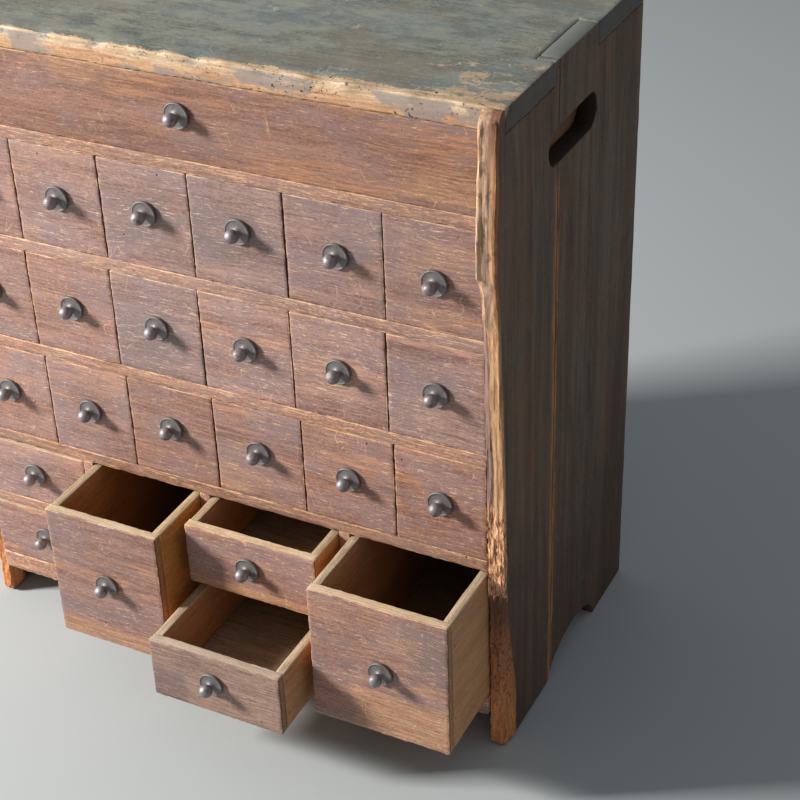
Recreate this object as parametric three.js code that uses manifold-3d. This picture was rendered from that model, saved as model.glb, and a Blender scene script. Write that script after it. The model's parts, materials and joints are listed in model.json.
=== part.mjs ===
// Apothecary cabinet: a plank carcass with hand holds, four shelves, eighteen small drawers in three
// rows, one full-width drawer above them, and a base of deep drawers and stacked shallow drawers.
// Millimetres, +Z up, drawers open towards -Y. The origin is under the middle of the whole object's
// box, with the four open base drawers as they stand.

import * as THREE from 'three';
import { mergeVertices } from 'three/addons/utils/BufferGeometryUtils.js';
import Module from 'manifold-3d';

// ---- Driving dimensions -------------------------------------------------------------------------

// Carcass
const cabinetWidth = 635;
const cabinetDepth = 325;
const cabinetHeight = 700;
const topThickness = 22;
const sideThickness = 19;
const backThickness = 10;
const shelfThickness = 13;
const bottomThickness = 22;
const underfloorHeight = 42;      // floor to the underside of the bottom board
const fitGap = 0.3;               // between boards that touch
const overrun = 1;                // how far a block runs past a face that it cuts or joins

// Side board: finger up through the top, hand hold, and the arch between its two feet
const fingerSetback = 108;
const fingerLength = 98;
const handHoldSetback = 94;
const handHoldLength = 114;
const handHoldHeight = 35;
const handHoldDrop = 80;          // top face to the middle of the hand hold
const frontFootLength = 112;
const rearFootLength = 85;
const archHeight = 35;
const archSteps = 12;
const handHoldSteps = 8;

// Front edge of a side board: it stands proud of the drawers at the head, where it comes up in front
// of the top board, and is worn back to their plane further down. Each pair is how far below the top
// face, and how far proud.
const edgeHeadReach = 14;
const edgeProfile = [[70, 17.5], [120, 19], [190, 14], [282, 8], [360, 3.5], [450, 0]];

// Closed rows, from the top down
const topRowHeight = 80;
const smallRowHeight = 107.5;
const smallRows = ['upper', 'middle', 'lower'];
const rowShift = [1.5, 0, 4];     // each row's dividers were set out by hand, a little apart
const smallColumns = 6;
const smallDividerThickness = 8;
const dividerSetback = 1;         // dividers stand this far behind the backs of the drawer fronts

// Base: bays 1 and 3 hold two shallow drawers, bays 2 and 4 one deep drawer
const rightBayWidth = 148.5;
const stackBayWidth = 148.5;
const bayDividerThickness = 12;
const halfShelfThickness = 12;

// Drawers
const frontThickness = 11;
const drawerSideThickness = 9;
const drawerBackThickness = 9;
const drawerFloorThickness = 6;
const drawerSideGap = 0.9;
const drawerFloorGap = 0.5;
const drawerHeadGap = 1;
const baseHeadGap = 3;            // the base drawers have worn low
const drawerRearGap = 8;
const pulledOut = {
  base_drawer_2: 85,
  base_drawer_3_upper: 50,
  base_drawer_3_lower: 131,
  base_drawer_4: 89,
};

// Knob: a round rose, a neck and a ball, on a shank through the front with a nut behind it
const roseRadius = 13;
const roseThickness = 3.2;
const roseRim = 1;
const neckRadius = 3.4;
const ballRadius = 6.7;
const ballReach = 12.2;           // drawer front to the middle of the ball
const shankRadius = 2.5;
const nutRadius = 5.5;
const nutThickness = 3;
const knobSides = 14;
const ballSteps = 5;

// Knobs were set by eye: how far each is right of, and above, the middle of its drawer front
const usualKnobPlace = [0.3, 1.2];
const knobPlaces = {
  top_drawer: [-0.2, 4.2],
  upper_drawer_3: [0.3, 4.7],
  upper_drawer_4: [1.8, 6.2],
  upper_drawer_5: [2.8, 2.2],
  upper_drawer_6: [1.3, -3.8],
  lower_drawer_3: [-0.7, 6.2],
  lower_drawer_4: [0.3, 4.2],
  base_drawer_3_upper: [-2.7, 2.2],
  base_drawer_3_lower: [-3.2, 3.2],
  base_drawer_4: [2.8, 1.2],
};

// ---- Sizes that follow --------------------------------------------------------------------------

const innerWidth = cabinetWidth - 2 * sideThickness;
const innerRight = innerWidth / 2;
const topUnderside = cabinetHeight - topThickness;
const bottomTop = underfloorHeight + bottomThickness;
const backFront = cabinetDepth - backThickness;
const drawerLength = backFront - drawerRearGap;
const columnPitch = innerWidth / smallColumns;
const dividerFront = frontThickness + dividerSetback;
const leftBayWidth = (innerWidth - rightBayWidth - stackBayWidth - 3 * bayDividerThickness) / 2;
const furthestPull = Math.max(...Object.values(pulledOut));
const frontReach = furthestPull + ballReach + ballRadius;

// ---- Solids -------------------------------------------------------------------------------------

const wasm = await Module();
wasm.setup();

// A closed three.js geometry as a solid that can be cut and joined.
function solid(geometry) {
  const bare = geometry.clone();
  bare.deleteAttribute('normal');
  bare.deleteAttribute('uv');
  const merged = mergeVertices(bare);
  const mesh = new wasm.Mesh({
    numProp: 3,
    vertProperties: merged.attributes.position.array,
    triVerts: new Uint32Array(merged.index.array),
  });
  return new wasm.Manifold(mesh);
}

// A block between two corners.
function block([x0, y0, z0], [x1, y1, z1]) {
  const geometry = new THREE.BoxGeometry(x1 - x0, y1 - y0, z1 - z0);
  geometry.translate((x0 + x1) / 2, (y0 + y1) / 2, (z0 + z1) / 2);
  return solid(geometry);
}

function geometryOf(manifold) {
  const { vertProperties, triVerts } = manifold.getMesh();
  const geometry = new THREE.BufferGeometry();
  geometry.setAttribute('position', new THREE.BufferAttribute(vertProperties, 3));
  geometry.setIndex(new THREE.BufferAttribute(triVerts, 1));
  geometry.computeVertexNormals();
  return geometry;
}

// ---- Materials ----------------------------------------------------------------------------------

const finishes = {
  agedTop: { color: 0x6f6f5f, roughness: 0.55, metalness: 0 },
  darkPlank: { color: 0x4a382b, roughness: 0.75, metalness: 0 },
  wornShelf: { color: 0x9c7048, roughness: 0.8, metalness: 0 },
  rawBack: { color: 0x8a6a4a, roughness: 0.85, metalness: 0 },
  drawerWood: { color: 0x86604f, roughness: 0.7, metalness: 0 },
  darkIron: { color: 0x2c2422, roughness: 0.45, metalness: 0.8 },
};

function part(name, geometry, finish) {
  const mesh = new THREE.Mesh(geometry, new THREE.MeshStandardMaterial(finishes[finish]));
  mesh.name = name;
  return mesh;
}

// ---- Carcass ------------------------------------------------------------------------------------

// The side board's outline lies in a plane of depth (x) and height (y), and is extruded to its
// thickness. The board's front and rear thirds stop under the top, its finger runs through it, and
// the proud part of its front edge comes up in front of it.
function sideOutline() {
  const shoulder = topUnderside - fitGap;
  const archRadius = (cabinetDepth - frontFootLength - rearFootLength) / 2;
  const archMiddle = frontFootLength + archRadius;
  const outline = new THREE.Shape();
  outline.moveTo(0, 0);
  for (const [drop, reach] of [...edgeProfile].reverse()) {
    outline.lineTo(-reach, cabinetHeight - drop);
  }
  outline.lineTo(-edgeHeadReach, cabinetHeight);
  outline.lineTo(-fitGap, cabinetHeight);
  outline.lineTo(-fitGap, shoulder);
  outline.lineTo(fingerSetback, shoulder);
  outline.lineTo(fingerSetback, cabinetHeight);
  outline.lineTo(fingerSetback + fingerLength, cabinetHeight);
  outline.lineTo(fingerSetback + fingerLength, shoulder);
  outline.lineTo(cabinetDepth, shoulder);
  outline.lineTo(cabinetDepth, 0);
  for (let step = 0; step <= archSteps; step += 1) {
    const angle = (Math.PI * step) / archSteps;
    outline.lineTo(archMiddle + archRadius * Math.cos(angle), archHeight * Math.sin(angle));
  }
  outline.closePath();
  return outline;
}

function handHold() {
  const radius = handHoldHeight / 2;
  const middle = cabinetHeight - handHoldDrop;
  const front = handHoldSetback + radius;
  const rear = handHoldSetback + handHoldLength - radius;
  const hole = new THREE.Path();
  hole.absarc(front, middle, radius, Math.PI / 2, Math.PI * 1.5, false);
  hole.absarc(rear, middle, radius, -Math.PI / 2, Math.PI / 2, false);
  hole.closePath();
  return hole;
}

function sideBoard(name, innerFace) {
  const outline = sideOutline();
  outline.holes.push(handHold());
  const options = { depth: sideThickness, bevelEnabled: false, curveSegments: handHoldSteps };
  const geometry = new THREE.ExtrudeGeometry(outline, options);
  // (depth, height, thickness) becomes (thickness, depth, height)
  geometry.applyMatrix4(new THREE.Matrix4().set(0, 0, 1, 0, 1, 0, 0, 0, 0, 1, 0, 0, 0, 0, 0, 1));
  geometry.translate(innerFace, 0, 0);
  return part(name, geometry, 'darkPlank');
}

// The top board laps over the sides and is notched at each end for the side's finger.
function topBoard() {
  const right = cabinetWidth / 2;
  let board = block([-right, 0, topUnderside], [right, cabinetDepth, cabinetHeight]);
  for (const side of [-1, 1]) {
    const ends = [side * (innerRight - fitGap), side * (right + overrun)].sort((a, b) => a - b);
    board = board.subtract(block(
      [ends[0], fingerSetback - fitGap, topUnderside - overrun],
      [ends[1], fingerSetback + fingerLength + fitGap, cabinetHeight + overrun],
    ));
  }
  return part('top_board', geometryOf(board), 'agedTop');
}

function shelfBoard(underside, thickness) {
  const right = innerRight - fitGap;
  return block([-right, 0, underside], [right, backFront - fitGap, underside + thickness]);
}

// An upright board that stands on a shelf; it sinks a little way into the shelf so that they join.
function upright(left, thickness, front, shelfTop, head) {
  const foot = shelfTop - overrun;
  return block([left, front, foot], [left + thickness, backFront - fitGap, head - fitGap]);
}

function shallowShelf(left, right, underside) {
  return block([left, 0, underside], [right, backFront - fitGap, underside + halfShelfThickness]);
}

// ---- Drawers ------------------------------------------------------------------------------------

// Half of the knob's section: distance from its axis, and reach out of the drawer front.
function knobProfile() {
  const nutFace = -(frontThickness + fitGap);
  const profile = [
    [0, nutFace - nutThickness],
    [nutRadius, nutFace - nutThickness],
    [nutRadius, nutFace],
    [shankRadius, nutFace],
    [shankRadius, fitGap],
    [roseRadius, fitGap],
    [roseRadius, fitGap + roseThickness - roseRim],
    [roseRadius - roseRim, fitGap + roseThickness],
    [neckRadius, fitGap + roseThickness],
  ];
  const neckAngle = Math.asin(neckRadius / ballRadius);
  for (let step = 0; step < ballSteps; step += 1) {
    const angle = neckAngle + ((Math.PI - neckAngle) * step) / ballSteps;
    profile.push([ballRadius * Math.sin(angle), ballReach - ballRadius * Math.cos(angle)]);
  }
  profile.push([0, ballReach + ballRadius]);
  return profile.map(([radius, reach]) => new THREE.Vector2(radius, reach));
}

const knobShape = new THREE.LatheGeometry(knobProfile(), knobSides);
knobShape.rotateX(Math.PI);       // its axis now points out of the drawer, towards -Y

// An open box behind its front. The front may stand wider than the box, to cover the dividers.
// Positions are from the middle of the front, its face and its lower edge.
function drawerBody(boxLeft, boxRight, frontLeft, frontRight, height, knobAt) {
  const box = block([boxLeft, 0, 0], [boxRight, drawerLength, height]);
  const front = block([frontLeft, 0, 0], [frontRight, frontThickness, height]);
  const inside = block(
    [boxLeft + drawerSideThickness, frontThickness, drawerFloorThickness],
    [boxRight - drawerSideThickness, drawerLength - drawerBackThickness, height + overrun],
  );
  const drillRadius = shankRadius + fitGap;
  const drill = new THREE.CylinderGeometry(drillRadius, drillRadius, 3 * frontThickness, knobSides);
  drill.translate(knobAt.x, 0, knobAt.z);
  return box.add(front).subtract(inside).subtract(solid(drill));
}

// cell: the space between the boards round the drawer; front: the width that its front covers.
function drawer(name, cell, front, headGap) {
  const height = cell.top - cell.bottom - drawerFloorGap - headGap;
  const middle = (front.left + front.right) / 2;
  const [knobRight, knobRise] = knobPlaces[name] ?? usualKnobPlace;
  const knobAt = { x: knobRight, z: height / 2 + knobRise };
  const body = drawerBody(
    cell.left + drawerSideGap - middle,
    cell.right - drawerSideGap - middle,
    front.left + drawerSideGap - middle,
    front.right - drawerSideGap - middle,
    height,
    knobAt,
  );
  const knob = part(`${name}_knob`, knobShape.clone(), 'darkIron');
  knob.position.set(knobAt.x, 0, knobAt.z);

  const group = new THREE.Group();
  group.add(part(name, geometryOf(body), 'drawerWood'), knob);
  group.position.set(middle, -(pulledOut[name] ?? 0), cell.bottom + drawerFloorGap);
  return group;
}

// ---- Assembly -----------------------------------------------------------------------------------

const cabinet = new THREE.Group();
cabinet.position.y = (frontReach - cabinetDepth) / 2;

cabinet.add(
  topBoard(),
  sideBoard('side_left', -cabinetWidth / 2),
  sideBoard('side_right', innerRight),
);

// Back: two wide boards, one above the other, between the sides
const backTop = topUnderside - fitGap;
const backSeam = (underfloorHeight + backTop) / 2;
const backRight = innerRight - fitGap;
const backBoards = {
  back_board_lower: [underfloorHeight, backSeam],
  back_board_upper: [backSeam + fitGap, backTop],
};
for (const [name, [low, high]] of Object.entries(backBoards)) {
  const board = block([-backRight, backFront, low], [backRight, cabinetDepth, high]);
  cabinet.add(part(name, geometryOf(board), 'rawBack'));
}

// Full-width drawer and the shelf under it
const topRowFloor = topUnderside - topRowHeight;
const fullWidth = { left: -innerRight, right: innerRight };
const topCell = { ...fullWidth, bottom: topRowFloor, top: topUnderside };
cabinet.add(drawer('top_drawer', topCell, fullWidth, drawerHeadGap));
let shelfUnderside = topRowFloor - shelfThickness;
cabinet.add(part('top_shelf', geometryOf(shelfBoard(shelfUnderside, shelfThickness)), 'wornShelf'));

// Three rows of small drawers, each on its own shelf with the dividers between its drawers
smallRows.forEach((row, rowIndex) => {
  const top = shelfUnderside;
  const bottom = top - smallRowHeight;
  shelfUnderside = bottom - shelfThickness;
  let shelf = shelfBoard(shelfUnderside, shelfThickness);
  const lines = [-innerRight];
  for (let column = 1; column < smallColumns; column += 1) {
    const line = -innerRight + column * columnPitch + rowShift[rowIndex];
    const left = line - smallDividerThickness / 2;
    shelf = shelf.add(upright(left, smallDividerThickness, dividerFront, bottom, top));
    lines.push(line);
  }
  lines.push(innerRight);
  cabinet.add(part(`${row}_shelf`, geometryOf(shelf), 'wornShelf'));

  for (let column = 0; column < smallColumns; column += 1) {
    const front = { left: lines[column], right: lines[column + 1] };
    const halfDivider = smallDividerThickness / 2;
    const cell = {
      left: front.left + (column > 0 ? halfDivider : 0),
      right: front.right - (column < smallColumns - 1 ? halfDivider : 0),
      bottom,
      top,
    };
    cabinet.add(drawer(`${row}_drawer_${column + 1}`, cell, front, drawerHeadGap));
  }
});

// Base: the bottom board with its bay dividers and the half shelves of the stacked bays
const baseHead = shelfUnderside;
const halfShelfUnderside = (bottomTop + baseHead - halfShelfThickness) / 2;
const bayWidths = [leftBayWidth, leftBayWidth, stackBayWidth, rightBayWidth];
let base = shelfBoard(underfloorHeight, bottomThickness);
let bayLeft = -innerRight;
bayWidths.forEach((width, index) => {
  const bayRight = bayLeft + width;
  const bay = { left: bayLeft, right: bayRight };
  const name = `base_drawer_${index + 1}`;
  const isLast = index === bayWidths.length - 1;
  if (!isLast) base = base.add(upright(bayRight, bayDividerThickness, 0, bottomTop, baseHead));
  if (index % 2 === 0) {
    const shelfLeft = index === 0 ? bayLeft + fitGap : bayLeft - overrun;
    base = base.add(shallowShelf(shelfLeft, bayRight + overrun, halfShelfUnderside));
    const lowerCell = { ...bay, bottom: bottomTop, top: halfShelfUnderside };
    const upperCell = { ...bay, bottom: halfShelfUnderside + halfShelfThickness, top: baseHead };
    cabinet.add(drawer(`${name}_lower`, lowerCell, bay, baseHeadGap));
    cabinet.add(drawer(`${name}_upper`, upperCell, bay, baseHeadGap));
  } else {
    cabinet.add(drawer(name, { ...bay, bottom: bottomTop, top: baseHead }, bay, baseHeadGap));
  }
  bayLeft = bayRight + bayDividerThickness;
});
cabinet.add(part('base_rack', geometryOf(base), 'wornShelf'));

export default cabinet;
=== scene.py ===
# %% [markdown]
# # An apothecary cabinet
# This is an old pharmacy cabinet of thin planks: one long drawer under the top, three rows of six
# small drawers, and a base with deep and shallow drawers, four of them left standing open.
# The frame below brings the cabinet's measured solids. They could be given a finish as they are, but
# real planks have worn corners, joints between them and grain that turns at each joint. So this
# lesson builds every plank and knob again, inside the space that the frame gives it.

# %% Load the frame
import json
import math
import random

import bmesh
import bpy
import numpy as np
from mathutils import Matrix, Quaternion, Vector


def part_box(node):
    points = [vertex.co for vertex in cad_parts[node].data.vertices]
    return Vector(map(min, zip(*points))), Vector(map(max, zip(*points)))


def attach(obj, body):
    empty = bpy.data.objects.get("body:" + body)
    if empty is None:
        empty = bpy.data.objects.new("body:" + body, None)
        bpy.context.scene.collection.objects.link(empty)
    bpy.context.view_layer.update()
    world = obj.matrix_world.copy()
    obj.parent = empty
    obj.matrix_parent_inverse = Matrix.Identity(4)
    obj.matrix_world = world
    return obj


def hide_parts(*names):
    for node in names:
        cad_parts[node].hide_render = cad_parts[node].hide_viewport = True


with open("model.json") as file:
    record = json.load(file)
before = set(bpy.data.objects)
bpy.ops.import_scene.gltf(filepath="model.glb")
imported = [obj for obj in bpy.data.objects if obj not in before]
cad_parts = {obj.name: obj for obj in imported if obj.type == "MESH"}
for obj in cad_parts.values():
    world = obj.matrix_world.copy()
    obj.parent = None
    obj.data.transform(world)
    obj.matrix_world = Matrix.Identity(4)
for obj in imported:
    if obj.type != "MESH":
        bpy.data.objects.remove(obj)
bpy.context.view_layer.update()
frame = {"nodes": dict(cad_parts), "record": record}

# %% [markdown]
# ## Places that everything is measured from
# The front plane of the cabinet and the head of its top are read from the frame, and so is each board's
# own box further down, so a change of size in the frame carries through to the looks.

# %% Main planes
top_low, top_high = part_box("top_board")
front_plane = top_low.y
top_face = top_high.z
inside_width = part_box("side_right")[0].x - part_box("side_left")[1].x
print("front plane", round(front_plane, 4), "inside width", round(inside_width, 4))

# %% [markdown]
# ## The camera
# The view is from the right and from above, with a long lens, as one looks down at a low cabinet.
# A camera can be turned by three angles, but it is easier to aim it at a point on the cabinet's front
# and then to roll it a little about its own axis.

# %% Camera
camera_place = Vector((0.8522, front_plane - 1.2236, 1.2843))
camera_target = Vector((0.2120, front_plane, 0.3960))
camera_roll = math.radians(-2.17)

aim = (camera_target - camera_place).to_track_quat("-Z", "Y")
turn = aim @ Quaternion((0, 0, 1), camera_roll)
bpy.ops.object.camera_add(location=camera_place, rotation=turn.to_euler())
camera = bpy.context.object
camera.name = "camera"
camera.data.lens = 80.74
camera.data.sensor_width = 36
camera.data.clip_start = 0.05
bpy.context.scene.camera = camera
print("camera", [round(x, 3) for x in camera.location], "lens", camera.data.lens)

# %% [markdown]
# ## Floor and light
# A plain pale floor takes the cabinet's shadow. The key light is a window-sized panel, low on the left
# and a little in front, so that it grazes the drawer fronts and the knobs throw long shadows down to
# the right. A weak even light fills the rest. A sun lamp would be simpler, but its shadows are too
# hard for a room.

# %% Floor
bpy.ops.mesh.primitive_plane_add(size=40, location=(0, 0, 0))
floor = bpy.context.object
floor.name = "floor"

floor_finish = bpy.data.materials.new("pale_floor")
floor_finish.use_nodes = True
floor_shader = floor_finish.node_tree.nodes["Principled BSDF"]
floor_shader.inputs["Base Color"].default_value = (0.40, 0.42, 0.42, 1)
floor_shader.inputs["Roughness"].default_value = 0.9
floor.data.materials.append(floor_finish)

# %% Light
light_direction = Vector((-0.80, -0.44, 0.42)).normalized()
light_distance = 3.4
light_middle = Vector((0.05, front_plane, 0.35))
bpy.ops.object.light_add(
    type="AREA",
    location=light_middle + light_direction * light_distance,
    rotation=light_direction.to_track_quat("Z", "Y").to_euler(),
)
window_light = bpy.context.object
window_light.name = "window_light"
window_light.data.shape = "RECTANGLE"
window_light.data.size = 0.55
window_light.data.size_y = 0.75
window_light.data.energy = 250
window_light.data.color = (1.0, 0.985, 0.96)

world = bpy.data.worlds.new("room")
bpy.context.scene.world = world
world.use_nodes = True
room_light = world.node_tree.nodes["Background"]
room_light.inputs["Color"].default_value = (0.86, 0.93, 1.0, 1)
room_light.inputs["Strength"].default_value = 0.32
bpy.context.scene.view_settings.view_transform = "Standard"
print("window light", window_light.data.energy, "W")

# %% [markdown]
# ## Planks
# A real plank has its own grain, arrises that are rounded by hand and by wear, and small chips along
# them. Each plank starts as a cube at its size and place. Its faces are cut into a grid so that they
# can bend, its sharp edges are bevelled, and a Displace modifier with a cloud pattern then eats into
# the rim. A boolean or sculpting could do this too, but the modifier is quick and gives the same
# result each time.

# %% Working with one piece at a time
def pick_only(piece):
    """Select this piece alone, so that an operator acts on nothing else."""
    bpy.ops.object.select_all(action="DESELECT")
    piece.select_set(True)
    bpy.context.view_layer.objects.active = piece


def start_block(name, low, high):
    """A cube between two corners, with its place kept in its mesh."""
    bpy.ops.object.select_all(action="DESELECT")
    low, high = Vector(low), Vector(high)
    bpy.ops.mesh.primitive_cube_add(size=1, location=(low + high) / 2, scale=high - low)
    bpy.ops.object.transform_apply(location=True, rotation=False, scale=True)
    piece = bpy.context.object
    piece.name = name
    piece.data.name = name
    return piece


def apply_all(piece):
    """Make every modifier of a piece part of its mesh."""
    pick_only(piece)
    for modifier in list(piece.modifiers):
        bpy.ops.object.modifier_apply(modifier=modifier.name)


# %% Cutting faces into a grid and rounding the arrises
def edit_edges(piece):
    """Open a piece for editing, with no edge selected."""
    pick_only(piece)
    bpy.ops.object.mode_set(mode="EDIT")
    bpy.ops.mesh.select_mode(type="EDGE")
    bpy.ops.mesh.select_all(action="DESELECT")


def select_along(piece, axis):
    """Select the edges that run along one axis alone, and return how long the longest is."""
    bpy.ops.mesh.select_all(action="DESELECT")
    mesh = bmesh.from_edit_mesh(piece.data)
    longest = 0
    for edge in mesh.edges:
        run = edge.verts[1].co - edge.verts[0].co
        if abs(run[axis]) > 0.9 * run.length:
            edge.select_set(True)
            longest = max(longest, run.length)
    bmesh.update_edit_mesh(piece.data)
    return longest


def cut_grid(piece, steps):
    """Subdivide the edges that run along X, Y and Z into lengths of about steps[axis]."""
    edit_edges(piece)
    for axis, step in enumerate(steps):
        cuts = round(select_along(piece, axis) / step) - 1
        if cuts > 0:
            bpy.ops.mesh.subdivide(number_cuts=cuts)
    bpy.ops.object.mode_set(mode="OBJECT")


def round_arrises(piece, width, segments=2):
    """Bevel every sharp edge of a piece."""
    edit_edges(piece)
    bpy.ops.mesh.edges_select_sharp(sharpness=math.radians(50))
    bpy.ops.mesh.bevel(offset=width, segments=segments, affect="EDGES")
    bpy.ops.object.mode_set(mode="OBJECT")


# %% Places of a mesh's points, as an array
def points_of(piece):
    flat = np.zeros(len(piece.data.vertices) * 3)
    piece.data.vertices.foreach_get("co", flat)
    return flat.reshape(-1, 3)


def move_points(piece, places):
    piece.data.vertices.foreach_set("co", places.astype(np.float32).ravel())
    piece.data.update()


def rim_nearness(piece, low, high, reach):
    """For each point, 1 on an arris of the block low..high, falling to 0 at reach from it."""
    places = points_of(piece)
    middle = (np.array(low) + np.array(high)) / 2
    half = (np.array(high) - np.array(low)) / 2
    depth = np.sort(half - np.abs(places - middle), axis=1)
    return np.clip(1 - depth[:, 1] / reach, 0, 1)


def weigh(piece, name, weights):
    """A vertex group that holds these weights."""
    group = piece.vertex_groups.new(name=name)
    for index in np.nonzero(weights > 0.01)[0]:
        group.add([int(index)], float(weights[index]), "REPLACE")
    return group


# %% Patterns that wear follows
def cloud_pattern(name, size, contrast, brightness):
    pattern = bpy.data.textures.new(name, "CLOUDS")
    pattern.noise_scale = size
    pattern.noise_depth = 2
    pattern.contrast = contrast
    pattern.intensity = brightness
    return pattern


chip_pattern = cloud_pattern("chips", 0.0045, 3.0, 0.55)
dent_pattern = cloud_pattern("dents", 0.022, 2.0, 0.85)


def wear_down(piece, pattern, depth, group="", frame_object=None):
    """A Displace modifier that sinks the surface by up to depth where the pattern is bright."""
    modifier = piece.modifiers.new(pattern.name, "DISPLACE")
    modifier.texture = pattern
    modifier.texture_coords = "OBJECT" if frame_object else "LOCAL"
    if frame_object:
        modifier.texture_coords_object = frame_object
    modifier.vertex_group = group
    modifier.mid_level = 0
    modifier.strength = -depth


def keep_within(piece, low, high, axes="xyz"):
    """Wear only takes wood away, so no point may stand outside the new board."""
    places = points_of(piece)
    for axis in ("xyz".index(letter) for letter in axes):
        places[:, axis] = np.clip(places[:, axis], low[axis], high[axis])
    move_points(piece, places)


# %% Grain: each plank remembers where its own grain runs
def store(piece, name, values):
    """Keep one number or one vector for each point of a piece."""
    kind, field = ("FLOAT", "value") if values.ndim == 1 else ("FLOAT_VECTOR", "vector")
    attribute = piece.data.attributes.get(name)
    if attribute is None:
        attribute = piece.data.attributes.new(name, kind, "POINT")
    attribute.data.foreach_set(field, values.astype(np.float32).ravel())


def keep_grain(piece, low, high, along, tone=(0, 0, 0), skin="-y", soot=None):
    """Store what the finish reads: each point's place along, across and through the plank, half of
    the plank's size the same way, a shift that makes its grain its own, its tone, how deep the point
    lies under the plank's stained face, and how much painted shade and dirt darken it."""
    luck = random.Random(piece.name)
    order = {"x": (0, 2, 1), "y": (1, 2, 0), "z": (2, 1, 0)}[along]
    places = points_of(piece)
    low, high = np.array(low), np.array(high)
    count = len(places)
    shift = [luck.uniform(1, 9) for _ in range(3)]
    store(piece, "grain", (places - (low + high) / 2)[:, order])
    store(piece, "half", np.tile((high - low)[list(order)] / 2, (count, 1)))
    store(piece, "tree", np.tile(shift, (count, 1)))
    store(piece, "tone", np.tile(tone, (count, 1)))
    axis = "xyz".index(skin[1])
    under = places[:, axis] - low[axis] if skin[0] == "-" else high[axis] - places[:, axis]
    store(piece, "skin", under)
    store(piece, "soot", np.zeros(count) if soot is None else soot)


def copy_piece(piece, name, shift):
    """A copy with its own mesh, moved by shift."""
    twin = piece.copy()
    twin.data = piece.data.copy()
    twin.name = name
    twin.data.name = name
    bpy.context.scene.collection.objects.link(twin)
    twin.data.transform(Matrix.Translation(Vector(shift)))
    return twin


def smooth(piece, angle=40):
    pick_only(piece)
    bpy.ops.object.shade_smooth_by_angle(angle=math.radians(angle))


def hand_over(piece, body, slot, finish, *nodes):
    """Give a finished piece its material and its body, and hide the frame's parts that it stands for;
    slot is not used.
    """
    piece.data.materials.clear()
    piece.data.materials.append(finish)
    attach(piece, body)
    if nodes:
        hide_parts(*nodes)
    return piece


# %% [markdown]
# ## Finishes
# All the wood is one kind of node material with different settings. It reads the grain that each plank
# has kept, so the same pattern runs along every plank whichever way it lies. Long stretched noise makes
# the fibres, wide noise makes the bands and stains, thin lines of another noise are scratches, and the
# distance to the nearest arris tells where hands have worn the stain away to bare wood. The helpers
# below add nodes to one current tree, so that a finish reads as a list of layers from the wood outwards.

# %% Node helpers
tree = None              # the node tree that the helpers are adding to


def put(kind, values=None, **settings):
    """Add a node; a socket among the values is joined, and anything else is set."""
    node = tree.nodes.new("ShaderNode" + kind)
    for key, value in settings.items():
        setattr(node, key, value)
    for key, value in (values or {}).items():
        if isinstance(value, bpy.types.NodeSocket):
            tree.links.new(value, node.inputs[key])
        else:
            node.inputs[key].default_value = value
    return node


def maths(operation, *values):
    return put("Math", dict(enumerate(values)), operation=operation).outputs[0]


def times(first, second):
    return maths("MULTIPLY", first, second)


def minus(first, second):
    return maths("SUBTRACT", first, second)


def times_plus(first, factor, more):
    return maths("MULTIPLY_ADD", first, factor, more)


def blend(share, first, second):
    """The first colour where share is 0 and the second where it is 1."""
    return put("Mix", {0: share, 6: first, 7: second}, data_type="RGBA").outputs[2]


def cloud(place, stretch, detail=4.0, roughness=0.55, distortion=0.0):
    """Noise, with the number of its patches per metre along, across and through the grain."""
    scaled = put("VectorMath", {0: place, 1: stretch}, operation="MULTIPLY").outputs[0]
    values = {"Vector": scaled, "Scale": 1.0, "Detail": detail, "Roughness": roughness}
    values["Distortion"] = distortion
    return put("TexNoise", values).outputs[0]


def fade(value, start, end, low=0.0, high=1.0):
    """low at start, high at end, and a soft step between them."""
    values = {0: value, 1: start, 2: end, 3: low, 4: high}
    return put("MapRange", values, interpolation_type="SMOOTHSTEP").outputs[0]


def sRGB(red, green, blue):
    """A colour named by its usual 0 to 255 values."""
    def linear(level):
        level /= 255
        return level / 12.92 if level <= 0.04045 else ((level + 0.055) / 1.055) ** 2.4
    return (linear(red), linear(green), linear(blue), 1)


# %% What every wood finish reads
def kept(name, output="Fac"):
    """A value that the plank has kept."""
    return put("Attribute", attribute_name=name).outputs[output]


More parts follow.
